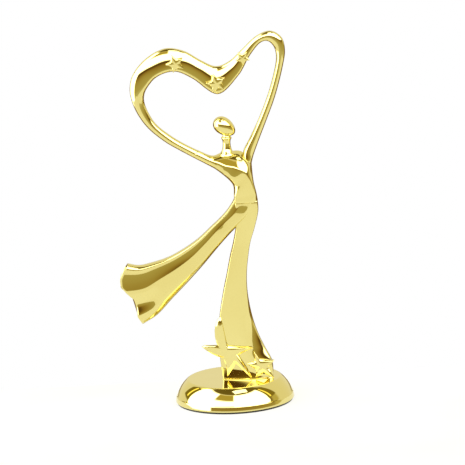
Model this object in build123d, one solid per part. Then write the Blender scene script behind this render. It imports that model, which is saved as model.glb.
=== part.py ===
from build123d import *
import os
from math import cos, pi, sin

# Gold-plated figure trophy, in millimetres. +Z is up and the figure faces -Y.
# The origin is the centre of the underside, where the trophy stands.

# base: a hollow shell with a rolled rim, a ballast plate in it and a felt pad below
pad_radius = 39.0
pad_thickness = 1.2
rim_radius = 40.0
rim_top_z = 5.2
top_radius = 31.5
base_top_z = 16.0
slope_bulge = 0.9
web_thickness = 3.0
side_wall = 2.6
ballast_thickness = 6.8
ballast_gap = 0.4
access_hole_radius = 7.0

# M5 screw on the base's axis, which holds the figure
screw_radius = 2.5
screw_clearance = 0.25
screw_grip = 13.0
screw_head_radius = 4.3
screw_head_height = 3.4
hex_socket_radius = 1.7
hex_socket_depth = 2.2
washer_radius = 5.0
washer_thickness = 1.0
spring_washer_radius = 4.4
spring_washer_thickness = 1.3
spring_washer_slot = 0.8

# M3 screws that hold the ballast plate, and the bosses that they go into
ballast_screw_count = 3
ballast_screw_pitch_radius = 24.0
ballast_screw_radius = 1.5
ballast_screw_grip = 3.6
ballast_head_radius = 2.8
ballast_head_height = 1.7
ballast_hole_clearance = 0.2
ballast_sink_clearance = 0.3
driver_slot_width = 0.7
driver_slot_depth = 0.8
boss_radius = 3.6

# pin that keeps the figure from turning on the base
locating_pin_xy = (14.0, -4.0)
locating_pin_radius = 1.5
locating_pin_half = 2.6

# dowels inside the figure: start and end of each
dowel_radius = 1.1
shoulder_dowel_ends = [
    ((-14.0, 0.0, 169.3), (-1.0, 0.0, 162.0)),
    ((20.2, 0.0, 176.4), (14.8, 0.0, 162.4)),
]
waist_dowel_ends = [
    ((10.4, 1.0, 134.6), (10.4, 1.0, 146.6)),
    ((17.6, 1.0, 134.6), (17.6, 1.0, 146.6)),
]
train_dowel_ends = [
    ((2.0, -2.6, 130.6), (12.4, -2.6, 131.4)),
    ((-1.0, -2.0, 123.4), (12.0, -2.0, 125.4)),
]
head_pin_radius = 1.4
head_pin_x = 3.2
head_pin_z = (165.0, 190.0)
waist_z = 140.6
cutter_size = 200.0

# Each row is one cross-section of a sculpted part: its two edges as (x, z), the y of the
# line between them, how far it swells to the front and to the back of that line, and how
# much that line turns forward per millimetre of width.
gown_sections = [
    ((-7.6, 16.0), (26.6, 16.0), -3.2, 4.2, 9.0, -0.19),
    ((-8.4, 25.0), (26.2, 27.0), -3.0, 4.2, 8.6, -0.19),
    ((-9.0, 35.0), (22.0, 36.0), -2.6, 4.2, 8.0, -0.14),
    ((-8.8, 47.0), (17.4, 47.0), -2.0, 4.6, 7.6, -0.08),
    ((-7.6, 60.0), (14.0, 60.0), -1.4, 5.2, 7.2, -0.04),
    ((-4.6, 75.0), (12.1, 75.0), -1.0, 5.4, 7.0, 0.0),
    ((-1.4, 88.0), (12.2, 88.0), -0.6, 5.4, 7.0, 0.0),
    ((1.4, 100.0), (13.8, 100.0), -0.2, 5.4, 7.0, 0.0),
    ((4.2, 110.0), (15.8, 110.0), 0.0, 5.6, 7.0, 0.0),
    ((6.4, 121.0), (19.2, 120.0), 0.0, 5.8, 7.0, 0.0),
    ((6.6, 131.0), (22.0, 130.5), 0.0, 5.8, 6.8, 0.0),
    ((6.3, 140.6), (22.0, 140.6), 0.0, 6.0, 6.6, 0.0),
    ((5.4, 148.0), (20.2, 147.0), 0.0, 6.2, 6.4, 0.0),
    ((-0.6, 155.6), (19.2, 154.6), 0.0, 6.4, 6.2, 0.0),
    ((-7.6, 162.0), (18.6, 161.6), 0.0, 5.8, 5.8, 0.0),
    ((-8.8, 167.4), (16.0, 168.4), 0.0, 4.6, 4.6, 0.0),
    ((-2.6, 172.0), (9.0, 173.4), 0.0, 3.6, 3.6, 0.0),
]
train_sections = [
    ((6.6, 141.6), (19.4, 143.6), -4.4, 3.4, 3.4, 0.0),
    ((4.4, 137.4), (18.2, 135.0), -4.0, 3.8, 4.2, 0.0),
    ((0.6, 131.8), (13.8, 127.6), -3.0, 4.4, 5.4, 0.0),
    ((-4.4, 126.4), (6.8, 120.0), -1.8, 4.6, 6.0, 0.0),
    ((-10.2, 121.2), (-0.6, 112.4), -0.8, 4.8, 6.2, 0.0),
    ((-18.2, 114.2), (-8.0, 104.4), 0.0, 4.8, 6.2, 0.0),
    ((-28.0, 107.6), (-16.4, 95.0), 0.6, 4.8, 6.2, 0.0),
    ((-40.0, 101.6), (-26.4, 84.6), 1.0, 5.0, 6.2, 0.0),
    ((-53.0, 98.0), (-38.4, 72.8), 1.0, 5.4, 6.2, 0.0),
    ((-65.0, 96.8), (-51.0, 62.4), 1.0, 5.8, 6.2, 0.0),
    ((-82.0, 98.0), (-66.0, 50.0), 1.0, 6.2, 6.2, 0.0),
]
ribbon_sections = [
    ((1.0, 156.6), (4.4, 163.4), 0.0, 2.8, 2.8, 0.0),
    ((-9.2, 162.6), (-5.8, 168.6), 0.0, 3.0, 3.0, 0.0),
    ((-19.2, 168.8), (-16.0, 173.8), 0.0, 3.0, 3.0, 0.0),
    ((-29.0, 174.8), (-25.6, 179.2), 0.0, 3.0, 3.0, 0.0),
    ((-38.1, 180.9), (-34.0, 185.0), 0.0, 3.0, 3.0, 0.0),
    ((-47.8, 189.6), (-42.8, 192.8), 0.0, 3.2, 3.2, 0.0),
    ((-54.2, 198.6), (-47.6, 200.6), 0.0, 3.4, 3.4, 0.0),
    ((-58.4, 208.6), (-50.4, 208.8), 0.0, 3.6, 3.6, 0.0),
    ((-59.8, 219.0), (-49.8, 215.2), 0.0, 4.0, 4.0, 0.0),
    ((-56.6, 229.2), (-46.2, 221.0), 0.0, 4.6, 4.6, 0.0),
    ((-47.6, 239.0), (-41.2, 225.6), 0.0, 5.2, 5.2, 0.0),
    ((-35.0, 245.0), (-34.0, 228.4), 0.0, 5.6, 5.6, 0.0),
    ((-22.4, 242.8), (-26.6, 228.2), 0.0, 5.6, 5.6, 0.0),
    ((-11.0, 235.6), (-17.0, 223.0), 0.0, 5.6, 5.6, 0.0),
    ((-1.4, 231.1), (-1.0, 211.7), 0.0, 6.4, 6.4, 0.0),
    ((8.0, 234.2), (13.4, 223.6), 0.0, 5.0, 5.0, 0.0),
    ((17.0, 242.0), (21.6, 236.8), 0.0, 3.6, 3.6, 0.0),
    ((26.4, 250.2), (28.6, 245.0), 0.0, 3.2, 3.2, 0.0),
    ((36.0, 253.5), (34.0, 246.4), 0.0, 3.2, 3.2, 0.0),
    ((43.6, 248.6), (38.0, 242.4), 0.0, 3.2, 3.2, 0.0),
    ((45.5, 239.4), (39.3, 235.8), 0.0, 3.0, 3.0, 0.0),
    ((43.6, 229.2), (38.0, 227.6), 0.0, 2.8, 2.8, 0.0),
    ((40.0, 216.4), (34.6, 216.0), 0.0, 2.8, 2.8, 0.0),
    ((36.0, 204.8), (30.6, 205.2), 0.0, 2.8, 2.8, 0.0),
    ((30.6, 192.0), (25.2, 193.0), 0.0, 2.8, 2.8, 0.0),
    ((25.6, 180.4), (19.2, 181.4), 0.0, 3.0, 3.0, 0.0),
    ((21.2, 169.4), (13.0, 171.6), 0.0, 3.2, 3.2, 0.0),
    ((18.0, 158.0), (10.0, 159.6), 0.0, 3.2, 3.2, 0.0),
]
neck_sections = [
    ((-1.8, 170.4), (8.2, 170.4), 0.0, 3.4, 3.4, 0.0),
    ((-0.6, 173.6), (6.8, 173.6), 0.0, 2.9, 2.9, 0.0),
    ((0.2, 178.0), (6.2, 178.0), 0.0, 2.7, 2.7, 0.0),
    ((0.2, 186.0), (6.2, 186.0), 0.0, 2.7, 2.7, 0.0),
]

# wavy free end of the train, from its top corner to its lowest point
hem_outline = [
    (-67.8, 99.0),
    (-70.8, 94.0),
    (-73.3, 87.0),
    (-72.6, 80.6),
    (-69.0, 76.0),
    (-64.0, 71.4),
    (-62.6, 66.0),
    (-62.4, 60.4),
    (-59.4, 55.6),
]
hem_trim_reach = 60.0

# head: an egg whose narrow end points down to the right
head_centre = (2.3, 0.0, 189.2)
head_half_length = 8.2
head_half_width = 5.7
head_narrowing = 0.16
head_lean = 38.0

# stars: (x, z) corners clockwise from the top tip, on a front face that follows the foot
star_inner_ratio = 0.46
star_points = 5
star_thickness = 2.4
foot_turn = -0.19
large_star = [
    (-7.3, 59.1),
    (-3.6, 39.8),
    (12.1, 36.8),
    (1.8, 31.2),
    (10.0, 17.2),
    (-1.4, 26.4),
    (-6.4, 18.6),
    (-8.4, 30.2),
    (-21.6, 38.6),
    (-10.8, 39.4),
]
large_star_front_y = -7.8
small_star = [
    (14.3, 35.2),
    (18.0, 29.4),
    (27.7, 29.2),
    (23.4, 23.8),
    (27.1, 16.4),
    (20.2, 20.2),
    (14.4, 17.2),
    (15.2, 22.8),
    (9.3, 26.6),
    (14.4, 28.6),
]
small_star_front_y = -6.8

# stars on the heart: name, centre (x, z), radius, lean to the right in degrees, front y
ribbon_stars = [
    ("ribbon_star_left", (-28.4, 235.4), 6.4, -20.0, -6.8),
    ("ribbon_star_centre", (-1.8, 220.8), 6.8, -14.0, -7.6),
    ("ribbon_star_right", (16.8, 236.6), 5.0, 36.0, -5.2),
]
ribbon_star_depth = 5.0


def section_edge(edge_a, edge_b, centre_y, front, back, turn):
    """The closed outline of one cross-section, a little squarer than an ellipse."""
    start = Vector(edge_a[0], centre_y, edge_a[1])
    end = Vector(edge_b[0], centre_y, edge_b[1])
    half = (end - start).length / 2
    across = ((end - start).normalized() + Vector(0, turn, 0)).normalized()
    plane = Plane(origin=(start + end) * 0.5, x_dir=across, z_dir=across.cross(Vector(0, 1, 0)))
    corner = 0.72
    outline = Spline(
        (-half, 0),
        (-corner * half, -corner * front),
        (0, -front),
        (corner * half, -corner * front),
        (half, 0),
        (corner * half, corner * back),
        (0, back),
        (-corner * half, corner * back),
        periodic=True,
    )
    return (plane * outline).edge()


def blend(before, first, second, after, share):
    """A smooth value between first and second, with before and after guiding its slope."""
    slope = (second - before) / 2
    next_slope = (after - first) / 2
    rise = second - first
    bend = 3 * rise - 2 * slope - next_slope
    return first + share * (slope + share * (bend + share * (slope + next_slope - 2 * rise)))


def blended_rows(rows, steps):
    flat = [(*row[0], *row[1], *row[2:]) for row in rows]
    padded = [flat[0], *flat, flat[-1]]
    result = []
    for index in range(len(flat) - 1):
        around = padded[index:index + 4]
        for step in range(steps):
            values = [blend(*four, step / steps) for four in zip(*around)]
            result.append((values[:2], values[2:4], *values[4:]))
    result.append(rows[-1])
    return result


def sculpted(rows, steps=2):
    """A closed solid whose skin runs from each cross-section to the next."""
    edges = [section_edge(*row) for row in blended_rows(rows, steps)]
    faces = [Face.make_surface_from_curves(low, high) for low, high in zip(edges, edges[1:])]
    faces.append(Face(Wire(edges[0])))
    faces.append(Face(Wire(edges[-1])))
    return Solid(Shell(faces))


def rod(x, y, z_low, z_high, radius):
    return Pos(x, y, (z_low + z_high) / 2) * Cylinder(radius, z_high - z_low)


def rod_between(start, end, radius):
    path = Vector(*end) - Vector(*start)
    middle = (Vector(*end) + Vector(*start)) * 0.5
    return Plane(origin=middle, z_dir=path.normalized()) * Cylinder(radius, path.length)


def rods(ends, radius):
    group = Part()
    for start, end in ends:
        group += rod_between(start, end, radius)
    return group


def star_outline(centre, radius, lean):
    corners = []
    for step in range(2 * star_points):
        angle = pi / 2 - step * pi / star_points - lean * pi / 180
        reach = radius if step % 2 == 0 else radius * star_inner_ratio
        corners.append((centre[0] + reach * cos(angle), centre[1] + reach * sin(angle)))
    return corners


def star_plate(outline, front_y, thickness, turn):
    """A plate that stands up, whose front face crosses the Z axis at front_y."""
    across = Vector(1, turn, 0).normalized()
    plane = Plane(origin=(0, front_y, 0), x_dir=across, z_dir=across.cross(Vector(0, 0, 1)))
    return extrude(plane * make_face(Polyline(*outline, close=True)), -thickness)


def ballast_screw_places():
    places = []
    for step in range(ballast_screw_count):
        angle = pi / 2 + step * 2 * pi / ballast_screw_count
        places.append(
            (ballast_screw_pitch_radius * cos(angle), ballast_screw_pitch_radius * sin(angle))
        )
    return places


def make_base_shell():
    rim_middle_z = (pad_thickness + rim_top_z) / 2
    slope_middle = ((pad_radius + top_radius) / 2 + slope_bulge, (rim_top_z + base_top_z) / 2 + slope_bulge)
    with BuildSketch(Plane.XZ) as profile:
        with BuildLine():
            Line((side_inner_radius, pad_thickness), (pad_radius, pad_thickness))
            ThreePointArc((pad_radius, pad_thickness), (rim_radius, rim_middle_z), (pad_radius, rim_top_z))
            ThreePointArc((pad_radius, rim_top_z), slope_middle, (top_radius, base_top_z))
            Polyline(
                (top_radius, base_top_z),
                (0, base_top_z),
                (0, web_z),
                (top_radius - web_thickness, web_z),
                (side_inner_radius, rim_top_z + web_thickness),
                (side_inner_radius, pad_thickness),
            )
        make_face()
    shell = revolve(profile.sketch, Axis.Z)
    for x, y in ballast_screw_places():
        shell += rod(x, y, ballast_top_z, web_z, boss_radius)
        shell -= rod(x, y, ballast_top_z, ballast_top_z + ballast_screw_grip, ballast_screw_radius)
    shell -= rod(0, 0, 0, base_top_z, screw_radius + screw_clearance)
    return shell - make_locating_pin()


def make_ballast_plate():
    plate = rod(0, 0, pad_thickness, ballast_top_z, side_inner_radius - ballast_gap)
    plate -= rod(0, 0, 0, base_top_z, access_hole_radius)
    for x, y in ballast_screw_places():
        plate -= rod(x, y, 0, base_top_z, ballast_screw_radius + ballast_hole_clearance)
        plate -= rod(x, y, 0, pad_thickness + ballast_head_height, ballast_head_radius + ballast_sink_clearance)
    return plate


def make_ballast_screws():
    screws = Part()
    head_top_z = pad_thickness + ballast_head_height
    for x, y in ballast_screw_places():
        screw = rod(x, y, pad_thickness, head_top_z, ballast_head_radius)
        screw += rod(x, y, head_top_z, ballast_top_z + ballast_screw_grip, ballast_screw_radius)
        slot = Box(2 * ballast_head_radius, driver_slot_width, 2 * driver_slot_depth)
        screws += screw - Pos(x, y, pad_thickness) * slot
    return screws


def make_felt_pad():
    return rod(0, 0, 0, pad_thickness, pad_radius)


def make_fixing_screw():
    head_low_z = head_top_z - screw_head_height
    screw = rod(0, 0, head_top_z, base_top_z + screw_grip, screw_radius)
    screw += rod(0, 0, head_low_z, head_top_z, screw_head_radius)
    socket = extrude(RegularPolygon(hex_socket_radius, 6), hex_socket_depth)
    return screw - Pos(0, 0, head_low_z) * socket


def make_flat_washer():
    ring = rod(0, 0, web_z - washer_thickness, web_z, washer_radius)
    return ring - rod(0, 0, 0, base_top_z, screw_radius + screw_clearance)


def make_spring_washer():
    ring = rod(0, 0, head_top_z, head_top_z + spring_washer_thickness, spring_washer_radius)
    ring -= rod(0, 0, 0, base_top_z, screw_radius + screw_clearance)
    gap = Box(2 * spring_washer_radius, spring_washer_slot, 2 * base_top_z)
    return ring - Pos(spring_washer_radius, 0, 0) * gap


def make_locating_pin():
    x, y = locating_pin_xy
    low_z = base_top_z - locating_pin_half
    return rod(x, y, low_z, base_top_z + locating_pin_half, locating_pin_radius)


def make_head_pin():
    return rod(head_pin_x, 0, *head_pin_z, head_pin_radius)


def make_head():
    crown = (-head_half_length, 0)
    chin = (head_half_length, 0)
    cheek_points = []
    for step in range(1, 6):
        angle = step * pi / 6
        width = head_half_width * sin(angle) * (1 + head_narrowing * cos(angle))
        cheek_points.append((-head_half_length * cos(angle), width))
    cheek = Spline(crown, *cheek_points, chin, tangents=[(0, 1), (0, -1)])
    half = revolve(make_face(cheek + Line(chin, crown)), Axis.X, 180)
    return Pos(*head_centre) * Rot(0, head_lean, 0) * (half + Rot(180, 0, 0) * half)


def trim_hem(train):
    """Cuts the train off along its wavy end."""
    far_x = hem_outline[0][0] - hem_trim_reach
    corners = [
        hem_outline[-1],
        (hem_outline[-1][0], 0),
        (far_x, 0),
        (far_x, waist_z),
        (hem_outline[0][0], waist_z),
        hem_outline[0],
    ]
    waste = make_face(Spline(*hem_outline) + Polyline(*corners))
    plane = Plane(origin=(0, hem_trim_reach, 0), x_dir=(1, 0, 0), z_dir=(0, -1, 0))
    return train - extrude(plane * waste, 2 * hem_trim_reach)


def make_figure():
    """The sculpted parts, each cut to the one that it's joined to."""
    whole = sculpted(gown_sections)
    above_waist = Pos(0, 0, waist_z + cutter_size / 2) * Box(cutter_size, cutter_size, cutter_size)
    shoulders = rods(shoulder_dowel_ends, dowel_radius)
    waist = rods(waist_dowel_ends, dowel_radius)
    hip = rods(train_dowel_ends, dowel_radius)
    neck_pin = make_head_pin()
    pieces = {
        "standing_gown": whole - above_waist - waist - hip - make_fixing_screw() - make_locating_pin(),
        "bodice": (whole & above_waist) - waist - shoulders - neck_pin,
        "gown_train": trim_hem(sculpted(train_sections)) - whole - hip,
        "heart_ribbon": sculpted(ribbon_sections) - whole - shoulders,
        "head": make_head() - make_head_pin(),
        "neck": sculpted(neck_sections) - whole - make_head() - neck_pin,
        "shoulder_dowels": shoulders,
        "waist_dowels": waist,
        "train_dowels": hip,
        "head_pin": neck_pin,
    }
    return pieces


def make_stars(pieces):
    """Stars on the heart and at the foot, each with its back cut to what it's on."""
    stars = {}
    for name, centre, radius, lean, front_y in ribbon_stars:
        plate = star_plate(star_outline(centre, radius, lean), front_y, ribbon_star_depth, 0)
        stars[name] = plate - pieces["heart_ribbon"]
    large = star_plate(large_star, large_star_front_y, star_thickness, foot_turn)
    small = star_plate(small_star, small_star_front_y, star_thickness, foot_turn)
    stars["ground_star_large"] = large - pieces["standing_gown"]
    stars["ground_star_small"] = small - pieces["standing_gown"] - large
    return stars


# sizes worked out from the ones above
ballast_top_z = pad_thickness + ballast_thickness
side_inner_radius = pad_radius - side_wall
web_z = base_top_z - web_thickness
head_top_z = web_z - washer_thickness - spring_washer_thickness

parts = make_figure()
parts |= make_stars(parts)
parts["base_shell"] = make_base_shell()
parts["ballast_plate"] = make_ballast_plate()
parts["ballast_screws"] = make_ballast_screws()
parts["felt_pad"] = make_felt_pad()
parts["fixing_screw"] = make_fixing_screw()
parts["flat_washer"] = make_flat_washer()
parts["spring_washer"] = make_spring_washer()
parts["locating_pin"] = make_locating_pin()

os.makedirs("parts", exist_ok=True)
for name, shape in parts.items():
    export_step(shape, "parts/" + name + ".step")
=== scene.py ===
import math
import bmesh
import bpy
import numpy as np
from mathutils import Matrix, Vector


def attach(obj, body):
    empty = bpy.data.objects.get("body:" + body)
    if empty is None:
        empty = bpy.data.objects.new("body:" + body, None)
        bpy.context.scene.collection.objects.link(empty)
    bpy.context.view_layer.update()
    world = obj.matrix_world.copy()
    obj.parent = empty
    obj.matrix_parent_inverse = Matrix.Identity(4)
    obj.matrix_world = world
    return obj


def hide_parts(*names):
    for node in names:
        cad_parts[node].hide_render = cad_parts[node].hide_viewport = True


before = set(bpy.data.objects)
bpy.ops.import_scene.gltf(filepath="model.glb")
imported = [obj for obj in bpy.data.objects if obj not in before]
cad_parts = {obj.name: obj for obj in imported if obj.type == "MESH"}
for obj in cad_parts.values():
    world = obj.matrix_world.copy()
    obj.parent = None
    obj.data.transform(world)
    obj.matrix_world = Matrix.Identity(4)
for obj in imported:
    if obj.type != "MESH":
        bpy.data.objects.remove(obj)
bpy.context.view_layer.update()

mm = 0.001
mergeDistance = 1e-6           # metres within which two vertices are one
print("stage: frame loaded,", len(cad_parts), "nodes")


def linearFromHex(code):
    channels = [int(code[i:i + 2], 16) / 255 for i in (1, 3, 5)]
    return [c / 12.92 if c <= 0.04045 else ((c + 0.055) / 1.055) ** 2.4 for c in channels] + [1.0]


def addNode(tree, kind, settings=None, **links):
    # settings go on the node or on its sockets; a link is a (node, output) pair, and i0 names input 0
    node = tree.nodes.new(kind)
    for key, value in (settings or {}).items():
        if isinstance(key, int) or key in node.inputs:
            node.inputs[key].default_value = value
        else:
            setattr(node, key, value)
    for name, source in links.items():
        socket = node.inputs[int(name[1:])] if name[0] == "i" and name[1:].isdigit() else node.inputs[name]
        tree.links.new(source[0].outputs[source[1]], socket)
    return node


def newMaterial(name):
    material = bpy.data.materials.new(name)
    material.use_nodes = True
    material.node_tree.nodes.clear()
    return material, material.node_tree


def meshObject(name, vertices, faces, smooth=True):
    mesh = bpy.data.meshes.new(name)
    mesh.from_pydata([tuple(v) for v in vertices], [], faces)
    mesh.polygons.foreach_set("use_smooth", [smooth] * len(mesh.polygons))
    mesh.update()
    piece = bpy.data.objects.new(name, mesh)
    bpy.context.scene.collection.objects.link(piece)
    return piece


def outwardNormals(piece):
    work = bmesh.new()
    work.from_mesh(piece.data)
    bmesh.ops.remove_doubles(work, verts=work.verts, dist=mergeDistance)
    bmesh.ops.recalc_face_normals(work, faces=work.faces)
    work.to_mesh(piece.data)
    work.free()
    piece.data.update()
    return piece


def finishPiece(piece, material, slot, *nodes):
    piece.data.materials.clear()
    piece.data.materials.append(material)
    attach(piece, "root")
    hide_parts(*nodes)


goldLook = {
    "plate": "#E9DD93",        # pale lemon gold
    "thinPlate": "#E4D687",
    "roughness": 0.03,
    "smoothest": 0.6,          # shares of the roughness between which the hairlines vary it
    "roughest": 1.6,
    "swellSize": 0.009,        # metres between the soft swells left by the buffing wheel
    "swellHeight": 0.000018,
    "swellStrength": 0.25,
    "hairlineSize": 0.0012,
}


def makePolishedGoldPlate():
    # electroplated gold over buffed zinc casting: mirror reflections, faint swells where a wheel cut deeper
    material, tree = newMaterial("polishedGoldPlate")
    place = addNode(tree, "ShaderNodeTexCoord")
    swell = addNode(tree, "ShaderNodeTexNoise", {"Scale": 1 / goldLook["swellSize"], "Detail": 2.0},
                    Vector=(place, "Object"))
    haze = addNode(tree, "ShaderNodeTexNoise", {"Scale": 1 / (3 * goldLook["swellSize"]), "Detail": 4.0},
                   Vector=(place, "Object"))
    tint = addNode(tree, "ShaderNodeMix", {"data_type": "RGBA", 6: linearFromHex(goldLook["plate"]),
                                           7: linearFromHex(goldLook["thinPlate"])}, Factor=(haze, "Fac"))
    hairline = addNode(tree, "ShaderNodeTexNoise", {"Scale": 1 / goldLook["hairlineSize"], "Detail": 3.0},
                       Vector=(place, "Object"))
    shine = addNode(tree, "ShaderNodeMapRange", {"To Min": goldLook["roughness"] * goldLook["smoothest"],
                                                 "To Max": goldLook["roughness"] * goldLook["roughest"]},
                    Value=(hairline, "Fac"))
    bump = addNode(tree, "ShaderNodeBump", {"Strength": goldLook["swellStrength"],
                                             "Distance": goldLook["swellHeight"]}, Height=(swell, "Fac"))
    shader = addNode(tree, "ShaderNodeBsdfPrincipled", {"Metallic": 1.0},
                     **{"Base Color": (tint, 2), "Roughness": (shine, "Result"), "Normal": (bump, "Normal")})
    addNode(tree, "ShaderNodeOutputMaterial", Surface=(shader, "BSDF"))
    return material


feltLook = {
    "dark": "#100E09",
    "light": "#2C281D",
    "fibreSize": 0.0004,
    "fibreHeight": 0.0002,
    "fibreStrength": 0.8,
    "roughness": 0.95,
    "sheen": 0.3,
}


def makeBlackFelt():
    # pressed wool felt, dyed black: no gloss, short fibres catch a little grey light
    material, tree = newMaterial("blackPressedFelt")
    place = addNode(tree, "ShaderNodeTexCoord")
    fibre = addNode(tree, "ShaderNodeTexNoise", {"Scale": 1 / feltLook["fibreSize"], "Detail": 6.0,
                                                   "Roughness": 0.75}, Vector=(place, "Object"))
    tint = addNode(tree, "ShaderNodeMix", {"data_type": "RGBA", 6: linearFromHex(feltLook["dark"]),
                                           7: linearFromHex(feltLook["light"])}, Factor=(fibre, "Fac"))
    bump = addNode(tree, "ShaderNodeBump", {"Strength": feltLook["fibreStrength"],
                                            "Distance": feltLook["fibreHeight"]}, Height=(fibre, "Fac"))
    shader = addNode(tree, "ShaderNodeBsdfPrincipled", {"Roughness": feltLook["roughness"],
                                                         "Sheen Weight": feltLook["sheen"]},
                     **{"Base Color": (tint, 2), "Normal": (bump, "Normal")})
    addNode(tree, "ShaderNodeOutputMaterial", Surface=(shader, "BSDF"))
    return material


steelLook = {
    "dull": "#A9ACB0",
    "bright": "#C9CCCB",
    "blotchSize": 0.003,
    "smoothest": 0.28,
    "roughest": 0.45,
}


def makeZincPlatedSteel():
    # bright zinc on mild steel: greyish with a faint blotchy passivation
    material, tree = newMaterial("zincPlatedSteel")
    place = addNode(tree, "ShaderNodeTexCoord")
    blotch = addNode(tree, "ShaderNodeTexNoise", {"Scale": 1 / steelLook["blotchSize"], "Detail": 5.0},
                     Vector=(place, "Object"))
    tint = addNode(tree, "ShaderNodeMix", {"data_type": "RGBA", 6: linearFromHex(steelLook["dull"]),
                                           7: linearFromHex(steelLook["bright"])}, Factor=(blotch, "Fac"))
    shine = addNode(tree, "ShaderNodeMapRange", {"To Min": steelLook["smoothest"],
                                                 "To Max": steelLook["roughest"]}, Value=(blotch, "Fac"))
    shader = addNode(tree, "ShaderNodeBsdfPrincipled", {"Metallic": 1.0},
                     **{"Base Color": (tint, 2), "Roughness": (shine, "Result")})
    addNode(tree, "ShaderNodeOutputMaterial", Surface=(shader, "BSDF"))
    return material


goldPlate = makePolishedGoldPlate()
blackFelt = makeBlackFelt()
zincSteel = makeZincPlatedSteel()
print("stage: materials made")


bandLook = {
    "around": 72,              # points round one cross-section
    "steps": 8,                # cross-sections between two rows
    "eyeLevel": 13.5,          # degrees above the horizon from which a row's two edges are the outline
}

# one cross-section as control points: place from edge -1 to edge 1, share of the front or back swell
lobeProfile = [(-1.05, -0.05), (-1.02, 0.3), (-0.9, 0.62), (-0.6, 0.84), (-0.25, 0.965), (0.1, 1.0),
               (0.45, 0.97), (0.75, 0.92), (0.93, 0.84), (1.03, 0.4), (1.05, -0.1), (0.8, -0.85),
               (0.2, -1.08), (-0.5, -1.05), (-0.95, -0.6)]
armProfile = [(-1.05, -0.05), (-1.0, 0.42), (-0.85, 0.74), (-0.55, 0.99), (-0.25, 1.1), (0.1, 1.13),
              (0.42, 1.05), (0.7, 0.88), (0.9, 0.6), (1.03, 0.25), (1.05, -0.1), (0.8, -0.85),
              (0.2, -1.08), (-0.5, -1.05), (-0.95, -0.6)]
chestProfile = [(-1.05, -0.05), (-1.02, 0.4), (-0.93, 0.76), (-0.6, 0.9), (-0.2, 1.02), (0.0, 1.07),
                (0.12, 1.02), (0.4, 0.88), (0.68, 0.7), (0.88, 0.3), (1.04, -0.2), (0.8, -0.85),
                (0.2, -1.08), (-0.5, -1.05), (-0.95, -0.6)]
hipProfile = [(-1.03, 0.0), (-1.03, 0.6), (-1.01, 0.93), (-0.94, 1.01), (-0.76, 1.03), (0.1, 1.05),
              (0.45, 1.05), (0.75, 1.0), (0.93, 0.86), (1.02, 0.5), (1.05, -0.1), (0.8, -0.85),
              (0.2, -1.08), (-0.5, -1.05), (-0.95, -0.6)]
figureProfiles = [lobeProfile, armProfile, chestProfile, hipProfile]    # a row blends two neighbours of these

panelProfile = [(-1.03, 0.0), (-1.03, 0.6), (-1.01, 0.93), (-0.94, 1.01), (-0.4, 1.02), (0.0, 1.02),
                (0.4, 1.02), (0.94, 1.01), (1.0, 0.9), (1.03, 0.5), (1.03, 0.0), (0.98, -0.8),
                (0.5, -1.03), (-0.5, -1.03), (-0.98, -0.8)]
flareProfile = [(-1.03, 0.0), (-1.03, 0.6), (-1.01, 0.93), (-0.94, 1.01), (-0.4, 1.02), (0.0, 1.02),
                (0.25, 1.0), (0.5, 0.86), (0.74, 0.56), (0.96, 0.16), (1.03, -0.1), (0.98, -0.8),
                (0.5, -1.03), (-0.5, -1.03), (-0.98, -0.8)]

# the train: rolled upper edge, scooped channel, ridge at place 0, falling facet, bevelled lower edge
trainProfile = [(-1.05, -0.1), (-1.04, 0.4), (-0.99, 0.78), (-0.9, 0.95), (-0.8, 0.92), (-0.7, 0.895),
                (-0.5, 0.925), (-0.25, 0.98), (-0.03, 1.06), (0.0, 1.075), (0.03, 1.075), (0.3, 1.06),
                (0.62, 1.035), (0.76, 1.02), (0.8, 0.94), (0.92, 0.66), (1.04, 0.1), (1.02, -0.5),
                (0.8, -0.95), (0.3, -1.06), (-0.3, -1.06), (-0.8, -0.95), (-1.02, -0.6)]
# the same edge to edge, with a shallower channel and a lower ridge
shallowProfile = [(-1.05, -0.1), (-1.04, 0.4), (-0.99, 0.82), (-0.9, 0.97), (-0.8, 0.96), (-0.7, 0.95),
                  (-0.5, 0.965), (-0.25, 0.99), (-0.03, 1.03), (0.0, 1.04), (0.03, 1.04), (0.3, 1.03),
                  (0.62, 1.01), (0.76, 0.99), (0.8, 0.92), (0.92, 0.66), (1.04, 0.1), (1.02, -0.5),
                  (0.8, -0.95), (0.3, -1.06), (-0.3, -1.06), (-0.8, -0.95), (-1.02, -0.6)]


def smoothRows(rows, steps):
    # Catmull-Rom through the rows, so the skin is smooth from one cross-section to the next
    rows = np.array(rows, float)
    padded = np.vstack([2 * rows[0] - rows[1], rows, 2 * rows[-1] - rows[-2]])
    result = []
    for index in range(len(rows) - 1):
        a, b, c, d = padded[index:index + 4]
        for t in np.arange(steps) / steps:
            result.append(0.5 * (2 * b + (c - a) * t + (2 * a - 5 * b + 4 * c - d) * t ** 2
                                 + (3 * b - a - 3 * c + d) * t ** 3))
    result.append(rows[-1])
    return np.array(result)


def smoothLoop(points, count):
    # closed cubic B-spline round the control points of one cross-section
    points = np.array(points, float)
    n = len(points)
    result = []
    for k in range(count):
        position = k * n / count
        i = int(position)
        t = position - i
        a, b, c, d = (points[(i + j) % n] for j in (-1, 0, 1, 2))
        result.append((a * (1 - t) ** 3 + b * (3 * t ** 3 - 6 * t ** 2 + 4)
                       + c * (-3 * t ** 3 + 3 * t ** 2 + 3 * t + 1) + d * t ** 3) / 6)
    return np.array(result)


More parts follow.
